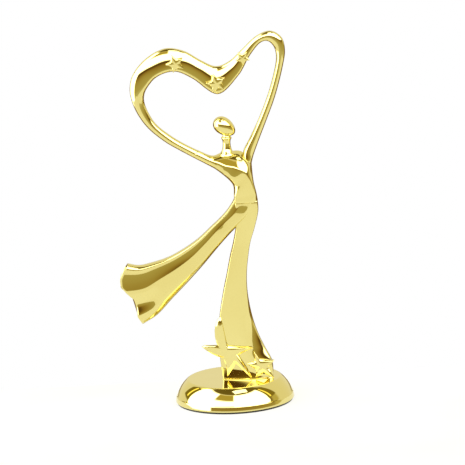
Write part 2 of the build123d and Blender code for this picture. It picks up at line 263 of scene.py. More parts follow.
def fitOutline(ring, start, end):
    # the row's two edges are where the casting ends to the eye, so the ring is stretched to reach just them
    slope = math.tan(math.radians(bandLook["eyeLevel"]))
    flatStart, flatEnd = np.array([start[0], start[2]]), np.array([end[0], end[2]])
    length = np.linalg.norm(flatEnd - flatStart)
    along = (flatEnd - flatStart) / length
    seen = np.column_stack([ring[:, 0], ring[:, 2] + ring[:, 1] * slope])
    reach = (seen - flatStart) @ along / length
    wanted = (reach - reach.min()) / (reach.max() - reach.min())
    shift = np.outer((wanted - reach) * length, along)
    return ring + np.column_stack([shift[:, 0], np.zeros(len(ring)), shift[:, 1]])


def bandRings(rows, profiles, adjust=None):
    # row: x and z of one edge, x and z of the other, y of each, front swell, back swell, which profile, ridge
    around = bandLook["around"]
    loops = [smoothLoop(profile, around) for profile in profiles]
    rings = []
    fine = smoothRows(rows, bandLook["steps"])
    for number, (ax, az, bx, bz, ay, by, front, back, shape, ridge) in enumerate(fine):
        lower = min(max(int(shape), 0), len(loops) - 1)
        upper = min(lower + 1, len(loops) - 1)
        weight = min(max(shape - lower, 0), 1)
        loop = loops[lower] * (1 - weight) + loops[upper] * weight
        start, end = np.array([ax, ay, az]), np.array([bx, by, bz])
        across = (end - start) / 2
        facing = np.cross(across, np.cross([0, -1.0, 0], across))
        facing = facing / np.linalg.norm(facing)
        place = np.interp(loop[:, 0], [-1.1, -1, 0, 1, 1.1], [-1.1, -1, ridge, 1, 1.1])
        swell = loop[:, 1] * np.where(loop[:, 1] > 0, front, back)
        ring = (start + end) / 2 + np.outer(place, across) + np.outer(swell, facing)
        if adjust:
            ring = adjust(ring, loop[:, 0], number / (len(fine) - 1))
        rings.append(fitOutline(ring, start, end))
    return rings


def skinOf(*bands):
    # closes each band at both ends and returns one list of vertices and faces, in metres
    vertices, faces = [], []
    for rings in bands:
        count = len(rings[0])
        first = sum(len(v) for v in vertices)
        vertices.append(np.vstack(rings) * mm)
        for i in range(len(rings) - 1):
            for j in range(count):
                k = (j + 1) % count
                row = first + i * count
                faces.append((row + j, row + k, row + count + k, row + count + j))
        last = first + (len(rings) - 1) * count
        faces.append(tuple(range(first, first + count)))
        faces.append(tuple(range(last, last + count)))
    return np.vstack(vertices), faces


def castPiece(name, *bands):
    piece = outwardNormals(meshObject(name, *skinOf(*bands)))
    for face in piece.data.polygons:
        face.use_smooth = len(face.vertices) <= 4    # only the end caps have more corners
    return piece


# x, z of the left or outer edge; x, z of the right or inner edge; y of each; front, back; profile; ridge
figureRows = [
    (6.9, 137.3, 21.6, 137.3, -0.8, -0.8, 7.0, 6.0, 3.0, 0),
    (6.3, 138.4, 22.0, 138.4, -1.0, -0.8, 8.0, 6.6, 3.0, 0),
    (6.3, 143.0, 21.4, 143.4, -1.2, -0.8, 8.3, 6.5, 3.0, 0.8),
    (6.3, 146.4, 20.0, 150.0, -1.6, -0.7, 8.9, 6.4, 2.6, 0.7),
    (5.6, 149.4, 19.2, 158.0, -2.0, -0.4, 9.4, 6.2, 2.1, 0.42),
    (3.9, 151.8, 18.2, 165.4, -2.4, 0.4, 9.4, 6.0, 2.0, 0.1),
    (0.9, 154.9, 13.2, 171.4, -2.0, 1.4, 8.0, 5.6, 2.0, -0.2),
    (-2.3, 157.8, 6.4, 172.2, -1.6, 1.6, 6.4, 5.0, 2.0, -0.36),
    (-5.5, 160.4, -0.4, 171.5, -1.4, 1.4, 5.0, 4.2, 1.8, -0.3),
    (-9.2, 162.8, -7.0, 169.8, -1.3, 1.3, 3.8, 3.5, 1.3, -0.1),
    (-19.2, 168.8, -16.0, 173.8, -1.2, 1.2, 3.0, 3.0, 1.0, 0),
    (-29.0, 174.8, -25.6, 179.2, -1.2, 1.2, 3.0, 3.0, 1.0, 0),
    (-38.1, 180.9, -34.0, 185.0, -1.1, 1.1, 3.0, 3.0, 1.0, 0),
    (-47.8, 189.6, -42.8, 192.8, -0.9, 0.9, 3.2, 3.2, 1.0, 0),
    (-54.2, 198.6, -47.6, 200.6, -0.4, 0.4, 3.4, 3.4, 0.9, 0),
    (-58.4, 208.6, -50.4, 208.8, 0.6, -0.6, 3.6, 3.6, 0.6, 0),
    (-59.8, 219.0, -49.8, 215.2, 1.4, -1.4, 3.8, 3.8, 0.3, 0),
    (-56.6, 229.2, -46.2, 221.0, 1.6, -1.6, 4.0, 4.0, 0, 0),
    (-47.6, 239.0, -41.2, 225.6, 1.8, -1.8, 4.2, 4.0, 0, 0),
    (-35.0, 245.0, -34.0, 228.4, 1.8, -1.8, 4.2, 4.0, 0, 0),
    (-22.4, 242.8, -26.6, 228.2, 1.5, -1.5, 4.2, 4.0, 0, 0),
    (-11.0, 235.6, -17.0, 223.0, 1.1, -1.1, 4.2, 4.0, 0, 0),
    (-1.4, 231.1, -1.0, 211.7, 1.4, -1.4, 4.6, 4.2, 0, 0),
    (8.0, 234.2, 13.4, 223.6, 1.0, -1.0, 4.0, 3.8, 0, 0),
    (17.0, 242.0, 21.6, 236.8, 1.0, -1.0, 3.2, 3.2, 0.3, 0),
    (26.4, 250.2, 28.6, 245.0, 0.7, -0.7, 3.0, 3.0, 0.6, 0),
    (36.0, 253.5, 34.0, 246.4, 0.7, -0.7, 3.0, 3.0, 0.8, 0),
    (43.6, 248.6, 38.0, 242.4, 0.2, -0.2, 3.0, 3.0, 1.0, 0),
    (45.5, 239.4, 39.3, 235.8, -0.3, 0.3, 3.0, 3.0, 1.0, 0),
    (43.6, 229.2, 38.0, 227.6, -0.6, 0.6, 2.8, 2.8, 1.0, 0),
    (40.0, 216.4, 34.6, 216.0, -0.6, 0.6, 2.8, 2.8, 1.0, 0),
    (36.0, 204.8, 30.6, 205.2, -0.6, 0.6, 2.8, 2.8, 1.0, 0),
    (30.6, 192.0, 25.2, 193.0, -0.6, 0.6, 2.8, 2.8, 1.0, 0),
    (25.6, 180.4, 19.2, 181.4, -0.6, 0.6, 3.0, 3.0, 1.0, 0),
    (21.3, 170.0, 14.2, 172.2, -1.0, 0.6, 3.2, 3.2, 1.0, 0),
    (19.6, 164.6, 14.0, 166.0, -1.8, 0.0, 3.4, 3.2, 1.0, 0),
    (19.2, 162.2, 14.6, 163.2, -1.9, -0.2, 2.6, 2.8, 1.0, 0),
]
sideFoldRows = [
    (20.6, 171.4, 15.2, 173.0, -0.6, 0.8, 2.2, 2.6, 1.0, 0),
    (19.4, 165.4, 14.8, 166.8, -1.6, -0.2, 2.8, 3.0, 1.0, 0),
    (19.5, 158.4, 16.4, 159.0, -3.0, -2.2, 3.2, 3.2, 1.0, 0),
    (20.0, 151.5, 17.6, 152.0, -4.4, -4.0, 2.8, 3.2, 1.0, 0),
    (20.8, 145.0, 19.0, 145.4, -5.6, -5.2, 2.2, 3.2, 1.0, 0),
    (22.0, 139.6, 20.2, 139.6, -5.2, -5.0, 2.0, 3.2, 1.0, 0),
    (22.0, 136.4, 20.4, 136.4, -3.0, -2.8, 1.6, 2.4, 1.0, 0),
]
shoulderLook = {
    "row": 10,                 # the figure's row at which the bodice ends and the ribbon starts
    "tuck": 0.985,             # an end ring's size under the other casting's skin
    "deepTuck": 0.95,
}

figureRings = bandRings(figureRows, figureProfiles)
seam = shoulderLook["row"] * bandLook["steps"]


def shrunkRing(ring, share):
    middle = ring.mean(0)
    return middle + (ring - middle) * share


# the ribbon's first rings lie just under the bodice's skin
tucked = [shrunkRing(figureRings[seam - 1], shoulderLook["deepTuck"]),
          shrunkRing(figureRings[seam], shoulderLook["tuck"])]
ribbon = castPiece("heartRibbon", tucked + figureRings[seam + 1:])
finishPiece(ribbon, goldPlate, "gold_plate", "heart_ribbon")
bodiceEnd = shrunkRing(figureRings[seam + 1], shoulderLook["tuck"])
bodice = castPiece("bodiceCasting", figureRings[:seam + 1] + [bodiceEnd],
                   bandRings(sideFoldRows, figureProfiles))
finishPiece(bodice, goldPlate, "gold_plate", "bodice")

gownRows = [
    (-8.2, 16.0, 27.2, 16.0, 0.0, -6.5, 4.9, 9.4, 0.9, 0),
    (-7.7, 16.5, 26.7, 16.5, 0.0, -6.5, 4.4, 9.0, 0.9, 0),
    (-7.6, 17.2, 26.6, 17.4, 0.0, -6.5, 4.2, 9.0, 0.9, 0),
    (-8.4, 25.0, 26.2, 27.0, 0.0, -6.0, 4.2, 8.6, 1.0, 0),
    (-9.0, 35.0, 22.0, 36.0, -0.4, -4.6, 4.2, 8.0, 1.0, 0),
    (-8.8, 47.0, 17.4, 47.0, -1.0, -3.0, 4.6, 7.6, 0.8, 0),
    (-7.6, 60.0, 14.0, 60.0, -1.0, -1.8, 5.2, 7.2, 0.4, 0),
    (-4.6, 75.0, 12.1, 75.0, -1.0, -1.0, 5.4, 7.0, 0, 0),
    (-1.4, 88.0, 12.2, 88.0, -0.6, -0.6, 5.8, 7.0, 0, 0),
    (1.4, 100.0, 13.8, 100.0, -0.2, -0.2, 6.25, 7.0, 0, 0),
    (4.2, 110.0, 15.8, 110.0, -0.1, -0.1, 6.5, 7.0, 0, 0),
    (6.4, 121.0, 19.2, 120.0, -0.4, -0.4, 6.8, 7.0, 0, 0),
    (6.6, 131.0, 22.0, 130.5, -0.8, -0.8, 7.2, 6.8, 0, 0),
    (6.5, 137.4, 22.1, 137.4, -1.0, -1.0, 7.5, 6.6, 0, 0),
    (6.9, 139.2, 21.6, 139.2, -1.0, -1.0, 6.8, 5.8, 0, 0),
]
gown = castPiece("standingGown", bandRings(gownRows, [panelProfile, flareProfile]))
finishPiece(gown, goldPlate, "gold_plate", "standing_gown")

trainRows = [
    (6.3, 140.8, 20.6, 141.6, -3.6, -4.8, 4.3, 3.4, 0, -0.28),
    (4.6, 137.4, 19.6, 136.0, -3.6, -4.6, 4.3, 4.2, 0.3, -0.26),
    (0.6, 131.8, 15.4, 128.6, -3.5, -4.7, 4.4, 5.4, 0.8, -0.28),
    (-4.4, 126.4, 6.8, 120.0, -3.2, -4.2, 4.4, 6.0, 1.0, -0.34),
    (-10.2, 121.2, -0.6, 112.4, -3.0, -3.8, 4.6, 6.2, 1.0, -0.34),
    (-18.2, 114.2, -8.0, 104.4, -2.8, -3.5, 4.6, 6.2, 0.9, -0.28),
    (-28.0, 107.6, -16.4, 95.0, -2.4, -3.3, 4.6, 6.2, 0.6, -0.19),
    (-40.0, 101.6, -26.4, 84.6, -1.8, -3.0, 4.8, 6.2, 0, -0.18),
    (-53.0, 98.0, -38.4, 72.8, -1.3, -2.6, 5.0, 6.2, 0, -0.17),
    (-60.5, 97.0, -49.0, 62.2, -0.9, -2.4, 5.2, 6.2, 0, -0.15),
    (-67.6, 98.6, -59.4, 56.0, -0.6, -2.2, 5.4, 6.2, 0, -0.17),
]
# across the hem from its upper edge -1 to its lower edge 1: millimetres that it runs out, and is pressed in
hemWave = [(-1.0, 0.0), (-0.77, 4.0), (-0.45, 7.6), (-0.15, 8.2), (0.06, 5.6), (0.27, 1.6), (0.52, 1.2),
           (0.78, 2.0), (1.0, 0.0)]
hemDent = [(-1.1, 0.0), (0.2, 0.0), (0.3, 2.6), (0.4, 3.4), (0.9, 0.6), (1.1, 0.0)]
hemLook = {
    "waveStart": 0.78,         # shares of the train's length
    "waveLength": 0.22,
    "pocketStart": 0.84,
    "pocketLength": 0.14,
    "pocketGrowth": 0.7,
}


def waveTheHem(ring, place, along):
    # the hem runs out in one wide tongue and a small one, with a pocket pressed in above the small one
    weight = max(0.0, (along - hemLook["waveStart"]) / hemLook["waveLength"]) ** 2
    pocket = min(max((along - hemLook["pocketStart"]) / hemLook["pocketLength"], 0.0), 1.0)
    pocket = pocket ** hemLook["pocketGrowth"]
    reach = np.interp(place, *zip(*hemWave))
    depth = np.interp(place, *zip(*hemDent)) * pocket
    return ring + np.outer(reach * weight, [-1.0, 0, 0]) + np.outer(depth, [0, 1.0, 0])


train = castPiece("gownTrain", bandRings(trainRows, [trainProfile, shallowProfile], adjust=waveTheHem))
finishPiece(train, goldPlate, "gold_plate", "gown_train")
print("stage: sculpted castings made")


def newGeometryTree(name, inputs):
    # an empty tree with its named inputs, the inputs' identifiers and the node that holds them
    tree = bpy.data.node_groups.new(name, "GeometryNodeTree")
    sockets = {}
    for label, kind in inputs:
        sockets[label] = tree.interface.new_socket(name=label, in_out="INPUT", socket_type=kind).identifier
    tree.interface.new_socket(name="Geometry", in_out="OUTPUT", socket_type="NodeSocketGeometry")
    return tree, sockets, addNode(tree, "NodeGroupInput")


def spinTree():
    # wraps a grid round the upright axis, each of its rows at one point of the half section
    tree, sockets, given = newGeometryTree("spinHalfSection", [
        ("Half section", "NodeSocketObject"), ("Segments", "NodeSocketInt"),
        ("Finish", "NodeSocketMaterial")])
    section = addNode(tree, "GeometryNodeObjectInfo", Object=(given, "Half section"))
    size = addNode(tree, "GeometryNodeAttributeDomainSize", Geometry=(section, "Geometry"))
    columns = addNode(tree, "ShaderNodeMath", {"operation": "ADD", 1: 1.0}, i0=(given, "Segments"))
    grid = addNode(tree, "GeometryNodeMeshGrid",
                   **{"Vertices X": (columns, 0), "Vertices Y": (size, "Point Count")})
    here = addNode(tree, "GeometryNodeInputPosition")
    parts = addNode(tree, "ShaderNodeSeparateXYZ", Vector=(here, 0))
    turn = addNode(tree, "ShaderNodeMath", {"operation": "MULTIPLY_ADD", 1: 2 * math.pi, 2: math.pi},
                   i0=(parts, 0))
    steps = addNode(tree, "ShaderNodeMath", {"operation": "SUBTRACT", 1: 1.0}, i0=(size, "Point Count"))
    share = addNode(tree, "ShaderNodeMath", {"operation": "ADD", 1: 0.5}, i0=(parts, 1))
    index = addNode(tree, "ShaderNodeMath", {"operation": "MULTIPLY"}, i0=(share, 0), i1=(steps, 0))
    whole = addNode(tree, "ShaderNodeMath", {"operation": "ROUND"}, i0=(index, 0))
    sample = addNode(tree, "GeometryNodeSampleIndex", {"data_type": "FLOAT_VECTOR"},
                     Geometry=(section, "Geometry"), Value=(here, 0), Index=(whole, 0))
    half = addNode(tree, "ShaderNodeSeparateXYZ", Vector=(sample, 0))
    cosine = addNode(tree, "ShaderNodeMath", {"operation": "COSINE"}, i0=(turn, 0))
    sine = addNode(tree, "ShaderNodeMath", {"operation": "SINE"}, i0=(turn, 0))
    x = addNode(tree, "ShaderNodeMath", {"operation": "MULTIPLY"}, i0=(half, 0), i1=(cosine, 0))
    y = addNode(tree, "ShaderNodeMath", {"operation": "MULTIPLY"}, i0=(half, 0), i1=(sine, 0))
    point = addNode(tree, "ShaderNodeCombineXYZ", X=(x, 0), Y=(y, 0), Z=(half, 2))
    placed = addNode(tree, "GeometryNodeSetPosition", Geometry=(grid, "Mesh"), Position=(point, 0))
    joined = addNode(tree, "GeometryNodeMergeByDistance", {"Distance": mergeDistance}, Geometry=(placed, 0))
    smooth = addNode(tree, "GeometryNodeSetShadeSmooth", Geometry=(joined, 0))
    real = addNode(tree, "GeometryNodeRealizeInstances", Geometry=(smooth, 0))
    finish = addNode(tree, "GeometryNodeSetMaterial", Geometry=(real, 0), Material=(given, "Finish"))
    addNode(tree, "NodeGroupOutput", Geometry=(finish, 0))
    return tree, sockets


def bakeNodes(name, source, tree, sockets, values):
    # runs the tree once and keeps its result as a plain mesh
    modifier = source.modifiers.new("build", "NODES")
    modifier.node_group = tree
    for key, value in values.items():
        modifier[sockets[key]] = value
    graph = bpy.context.evaluated_depsgraph_get()
    mesh = bpy.data.meshes.new_from_object(source.evaluated_get(graph), depsgraph=graph)
    mesh.name = name
    piece = bpy.data.objects.new(name, mesh)
    bpy.context.scene.collection.objects.link(piece)
    for helper in [source] + [v for v in values.values() if isinstance(v, bpy.types.Object)]:
        bpy.data.objects.remove(helper)
    return piece


def roundedCorners(points, steps=6):
    # (radius, height, rounding) corners of a half section, in millimetres, each rounded by a short curve
    result = []
    for number, (x, z, cut) in enumerate(points):
        here = np.array([x, z])
        if cut == 0:
            result.append(here)
            continue
        before, after = np.array(points[number - 1][:2]), np.array(points[number + 1][:2])
        start = here + (before - here) * min(cut / np.linalg.norm(before - here), 0.5)
        end = here + (after - here) * min(cut / np.linalg.norm(after - here), 0.5)
        for t in np.linspace(0, 1, steps):
            result.append(start * (1 - t) ** 2 + here * 2 * t * (1 - t) + end * t ** 2)
    return result


spinner, spinnerSockets = spinTree()


def turnedPiece(name, corners, segments):
    points = [(x * mm, 0, z * mm) for x, z in roundedCorners(corners)]
    section = bpy.data.meshes.new(name + "Section")
    section.from_pydata(points, [(i, i + 1) for i in range(len(points) - 1)], [])
    helper = bpy.data.objects.new(name + "Section", section)
    bpy.context.scene.collection.objects.link(helper)
    carrier = bpy.data.objects.new(name + "Carrier", bpy.data.meshes.new(name + "Carrier"))
    bpy.context.scene.collection.objects.link(carrier)
    piece = bakeNodes(name, carrier, spinner, spinnerSockets,
                      {"Half section": helper, "Segments": segments, "Finish": goldPlate})
    return outwardNormals(piece)


baseLook = {
    "rimRadius": 40.0,
    "rimTop": 5.2,
    "topRadius": 31.5,
    "top": 16.0,
    "padTop": 1.25,
    "beadWidth": 0.9,
    "slopeSwell": 0.9,         # how far the slope stands out from a straight line between top and bead
    "swellAcross": 0.78,       # the direction of that swell
    "swellUp": 0.62,
    "wall": 3.0,
    "ceiling": 13.0,
    "segments": 160,
}


def makeBase():
    look = baseLook
    rim, top, topRadius = look["rimRadius"], look["top"], look["topRadius"]
    rimTop, padTop, ceiling = look["rimTop"], look["padTop"], look["ceiling"]
    corners = [(0, top, 0), (topRadius - 1.6, top, 0), (topRadius, top, 1.2)]
    for share in (0.25, 0.5, 0.75):
        radius = topRadius + (rim - look["beadWidth"] - topRadius) * share
        height = top - (top - rimTop) * share
        swell = look["slopeSwell"] * 4 * share * (1 - share)
        corners.append((radius + swell * look["swellAcross"], height + swell * look["swellUp"], 1.8))
    # the bead, the foot's flat ring, then up the inner wall to the ceiling
    corners += [(rim - look["beadWidth"], rimTop + 0.1, 0.3), (rim - 0.6, rimTop - 0.3, 0.3),
                (rim - 0.05, 1.9, 0.8), (rim - 0.2, padTop + 0.1, 0.3), (rim - 0.8, padTop, 0.3),
                (rim - 2.6, padTop, 0.3), (rim - look["wall"], 5.0, 1.5), (29.0, ceiling - 0.6, 1.2),
                (27.0, ceiling, 0.8), (0, ceiling, 0)]
    return turnedPiece("trophyBase", corners, look["segments"])


finishPiece(makeBase(), goldPlate, "gold_plate", "base_shell")

padLook = {
    "radius": 39.0,
    "thickness": 1.2,
    "bulge": 0.05,
    "edge": 0.3,
    "segments": 128,
}


def makePad():
    radius, thickness, edge = padLook["radius"], padLook["thickness"], padLook["edge"]
    corners = [(0, thickness, 0), (radius - 1, thickness, 0), (radius, thickness, edge),
               (radius + padLook["bulge"], thickness / 2, edge), (radius, 0, edge), (radius - 1, 0, 0),
               (0, 0, 0)]
    return turnedPiece("feltPad", corners, padLook["segments"])


finishPiece(makePad(), blackFelt, "felt", "felt_pad")

neckLook = {"x": 3.2, "segments": 48}


def makeNeck():
    corners = [(0, 169.0, 0), (5.4, 169.4, 0.4), (5.0, 170.8, 0.8), (3.6, 172.4, 1.2), (2.7, 175.0, 1.6),
               (2.5, 178.6, 1.4), (2.9, 180.4, 0.6), (3.5, 181.0, 0.5), (3.5, 181.9, 0.5), (2.6, 182.6, 0.5),
               (2.2, 184.4, 0.8), (0, 185.0, 0)]
    piece = turnedPiece("slimNeck", corners, neckLook["segments"])
    piece.data.transform(Matrix.Translation((neckLook["x"] * mm, 0, 0)))
    return piece


headLook = {
    "centre": (2.3, 0.0, 189.2),
    "halfLength": 8.2,
    "halfWidth": 5.7,
    "narrowing": 0.16,         # the crown is this much fuller than the chin
    "lean": 38.0,              # degrees by which the crown leans over
    "steps": 32,               # from crown to chin
    "segments": 64,
}


def makeHead():
    corners = []
    for step in range(headLook["steps"] + 1):
        angle = math.pi * step / headLook["steps"]
        width = headLook["halfWidth"] * math.sin(angle) * (1 + headLook["narrowing"] * math.cos(angle))
        corners.append((max(width, 0), -headLook["halfLength"] * math.cos(angle), 0))
    piece = turnedPiece("eggHead", corners, headLook["segments"])
    lean = Matrix.Rotation(math.radians(headLook["lean"] + 90), 4, "Y")
    piece.data.transform(Matrix.Translation(Vector(headLook["centre"]) * mm) @ lean)
    return piece


finishPiece(makeNeck(), goldPlate, "gold_plate", "neck")
finishPiece(makeHead(), goldPlate, "gold_plate", "head")
print("stage: base, pad, neck and head made")


starLook = {
    "points": 5,
    "innerShare": 0.5,
    "thickness": 2.4,
    "pillow": 0.45,
    "edge": 0.7,
    "backBevel": 0.4,
    "swirl": 6.0,              # degrees by which the notches lag, so each arm curls
}


def cushionedPlate(name, outline, thickness, pillow, edge):
    # an outline in x and z round its middle: bevelled back, straight wall, bevelled front, cushioned face
    outline = np.array(outline, float)
    middle = outline.mean(0)
    count = len(outline)
    towards = outline - middle
    distance = np.linalg.norm(towards, axis=1, keepdims=True)
    bevel = starLook["backBevel"]
    rings = []
    for inset, depth in ((bevel, thickness), (0, thickness - bevel), (0, 0.5 * edge), (edge, 0)):
        rings.append(np.column_stack([outline - towards / distance * inset, np.full(count, depth)]))
    chamfer = range(2 * count, 3 * count)
    for share in (0.8, 0.6, 0.4, 0.2):
        flat = middle + (rings[3][:, :2] - middle) * share
        rings.append(np.column_stack([flat, np.full(count, -pillow * (1 - share ** 2))]))
    vertices = [(x * mm, y * mm, z * mm) for ring in rings for x, z, y in ring]
    vertices.append((middle[0] * mm, -pillow * mm, middle[1] * mm))
    vertices.append((middle[0] * mm, thickness * mm, middle[1] * mm))
    faces = []
    for i in range(len(rings) - 1):
        for j in range(count):
            k = (j + 1) % count
            faces.append((i * count + j, i * count + k, (i + 1) * count + k, (i + 1) * count + j))
    front = (len(rings) - 1) * count
    for j in range(count):
        k = (j + 1) % count
        faces.append((front + j, front + k, len(vertices) - 2))
        faces.append((j, k, len(vertices) - 1))
    piece = outwardNormals(meshObject(name, vertices, faces))
    for number in chamfer:
        piece.data.polygons[number].use_smooth = False
    return piece


def softOutline(corners, each=5, tipRounding=0.12):
    # straight sides between the corners, each corner rounded off a little
    corners = np.array(corners, float)
    n = len(corners)
    result = []
    for i in range(n):
        before, here, after = corners[i - 1], corners[i], corners[(i + 1) % n]
        start, end = here + (before - here) * tipRounding, here + (after - here) * tipRounding
        for t in (0, 0.33, 0.67, 1):
            result.append(start * (1 - t) ** 2 + here * 2 * t * (1 - t) + end * t ** 2)
        nextStart = corners[(i + 1) % n] + (here - corners[(i + 1) % n]) * tipRounding
        for t in np.arange(1, each) / each:
            result.append(end + (nextStart - end) * t)
    return result


def starCorners(radius):
    corners = []
    for step in range(2 * starLook["points"]):
        inner = step % 2
        angle = math.pi / 2 - step * math.pi / starLook["points"] + math.radians(starLook["swirl"]) * inner
        reach = radius * (starLook["innerShare"] if inner else 1)
        corners.append((reach * math.cos(angle), reach * math.sin(angle)))
    return corners


ribbonStars = [
    # centre x, z, front y, radius, lean to the right in degrees, tip backwards in degrees
    (-28.4, 235.4, -7.2, 6.6, -20, -7),
    (-1.8, 220.8, -8.4, 7.0, -14, -7),
    (16.8, 236.6, -5.6, 5.2, 36, -6),
]


def starTree():
    # puts one copy of the star at every point, turned and sized by the point's own values
    tree, sockets, given = newGeometryTree("scatterStars", [
        ("Places", "NodeSocketGeometry"), ("Star", "NodeSocketObject"), ("Finish", "NodeSocketMaterial")])
    star = addNode(tree, "GeometryNodeObjectInfo", Object=(given, "Star"))
    turn = addNode(tree, "GeometryNodeInputNamedAttribute", {"data_type": "FLOAT_VECTOR", "Name": "turn"})
    size = addNode(tree, "GeometryNodeInputNamedAttribute", {"data_type": "FLOAT", "Name": "size"})
    spots = addNode(tree, "GeometryNodeInstanceOnPoints", Points=(given, "Places"),
                    Instance=(star, "Geometry"), Rotation=(turn, "Attribute"), Scale=(size, "Attribute"))
    real = addNode(tree, "GeometryNodeRealizeInstances", Geometry=(spots, 0))
    finish = addNode(tree, "GeometryNodeSetMaterial", Geometry=(real, 0), Material=(given, "Finish"))
    addNode(tree, "NodeGroupOutput", Geometry=(finish, 0))
    return tree, sockets


def makeRibbonStars():
    largest = max(star[3] for star in ribbonStars)
    master = cushionedPlate("starMaster", softOutline(starCorners(largest)), starLook["thickness"],
                            starLook["pillow"], starLook["edge"])
    places = bpy.data.meshes.new("starPlaces")
    places.from_pydata([(star[0] * mm, star[2] * mm, star[1] * mm) for star in ribbonStars], [], [])
    places.attributes.new("turn", "FLOAT_VECTOR", "POINT")
    places.attributes.new("size", "FLOAT", "POINT")
    for number, (x, z, y, radius, lean, tip) in enumerate(ribbonStars):
        spin = Matrix.Rotation(math.radians(lean), 3, "Y")
        nod = Matrix.Rotation(math.radians(-tip), 3, "X")
        places.attributes["turn"].data[number].vector = (nod @ spin).to_euler()
        places.attributes["size"].data[number].value = radius / largest
    carrier = bpy.data.objects.new("starPlaces", places)
    bpy.context.scene.collection.objects.link(carrier)
    tree, sockets = starTree()
    piece = bakeNodes("ribbonStars", carrier, tree, sockets, {"Star": master, "Finish": goldPlate})
    return outwardNormals(piece)


finishPiece(makeRibbonStars(), goldPlate, "gold_plate", "ribbon_star_left", "ribbon_star_centre",
            "ribbon_star_right")

groundStarLook = {
    "turn": -0.19,             # change in y for each unit of x, about as the gown's foot has
    "pillow": 0.3,
    "edge": 1.1,
    "largeFront": -8.2,
    "smallFront": -7.4,
}
largeStarOutline = [(-6.9, 59.8), (-9.4, 57.2), (-10.8, 53.8), (-11.5, 49.8), (-11.5, 45.8), (-10.7, 41.6),
                    (-10.2, 39.9), (-14.6, 39.8), (-18.6, 39.8), (-20.6, 38.8), (-18.2, 36.8),
                    (-14.6, 34.3), (-10.7, 32.2), (-6.6, 31.2), (-5.2, 26.9), (-4.5, 22.1), (-4.6, 18.0),
                    (-2.1, 21.6), (0.2, 25.2), (1.6, 27.6), (5.1, 24.0), (8.3, 20.4), (11.6, 17.0),
                    (8.8, 22.8), (6.0, 27.7), (3.2, 33.0), (6.9, 34.8), (10.3, 36.5), (14.0, 38.1),
                    (9.0, 38.2), (3.7, 38.5), (-3.1, 39.2), (-5.2, 43.2), (-6.3, 47.2), (-6.5, 51.8),
                    (-6.1, 55.8)]
smallStarCorners = [(14.3, 35.4), (17.8, 29.6), (27.9, 29.4), (23.2, 23.9), (27.3, 16.6), (20.4, 20.0),
                    (14.2, 17.2), (15.4, 22.6), (9.1, 26.8), (14.6, 28.4)]


def makeGroundStar(name, outline, frontY):
    # stands against the gown's foot and shares its slight turn
    piece = cushionedPlate(name, outline, starLook["thickness"], groundStarLook["pillow"],
                           groundStarLook["edge"])
    for vertex in piece.data.vertices:
        vertex.co.y += frontY * mm + groundStarLook["turn"] * vertex.co.x
    return piece


finishPiece(makeGroundStar("groundStarLarge", largeStarOutline, groundStarLook["largeFront"]),
            goldPlate, "gold_plate", "ground_star_large")
finishPiece(makeGroundStar("groundStarSmall", softOutline(smallStarCorners), groundStarLook["smallFront"]),
            goldPlate, "gold_plate", "ground_star_small")
print("stage: stars made")

hiddenSteel = ["ballast_plate", "ballast_screws", "fixing_screw", "flat_washer", "spring_washer",
               "locating_pin", "shoulder_dowels", "waist_dowels", "train_dowels", "head_pin"]
for name in hiddenSteel:
    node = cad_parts[name]
    node.data.materials.clear()
    node.data.materials.append(zincSteel)


stageLook = {
    "floorFront": -0.74,       # the table ends here towards the viewer
    "floorBack": 0.06,
    "floorSide": 0.55,
    "floor": "#E8E8E6",
    # the next two are the near and far colours of the table's painted glow, not of its top
    "glowNear": "#FFFFFA",
    "glowFar": "#F3EFDD",
    "fadeStart": -0.05,        # from here to its front edge the table's glow, which is painted light, goes from near to far
    "cloudSize": 0.12,
    "cloudShare": 0.7,
    "glow": 0.8,               # share of the table's look that is its own light
    "elevation": 13.5,
    "roll": 3.0,
    "distance": 8.0,
    "aim": (4.0, 0.0, 116.0),
    "frameWidth": 312.5,
    "sensorWidth": 36,
    "lampPlace": (0.25, -0.55, 1.9),
    "lampSize": (0.7, 0.4),
    "lampPower": 2.5,
}

# the room's colour by height above the horizon, in degrees, the same all round
roomColours = [(-40, "#E8DDB0"), (-24, "#DDD6AE"), (-13, "#CCC498"), (-9, "#BFB37C"), (-2, "#B9AB70"),
               (4, "#AE9A5A"), (9, "#987C3C"), (12, "#6E5528"), (14.5, "#5C4222"), (17, "#7A6636"),
               (40, "#8C7630"), (60, "#7C6A30"), (90, "#6A5A2A")]

# patches over it: side angles (0 to the viewer, positive to the right), heights, softness, colour, strength
roomPatches = [
    (84, 150, -25, 52, 8, "#CDBE78", 1.0),
    (100, 260, -2, 66, 8, "#F6F0D8", 1.0),
    (100, 260, -60, -4, 8, "#8A6E34", 1.0),
    (-112, 78, 18, 61, 5, "#FFFFFF", 4.0),
    (-112, -50, -28, 24, 5, "#FFFFFF", 4.0),
    (-52, -4, 42, 62, 6, "#C4AF5C", 1.0),
    (-134, -112, 14, 46, 3, "#8A7828", 1.0),
    (-124, -120, 18, 42, 2, "#FFE978", 1.8),
    (78, 102, 28, 60, 3, "#8F7C34", 1.0),
    (84, 88, 30, 58, 2, "#FFE978", 1.8),
]


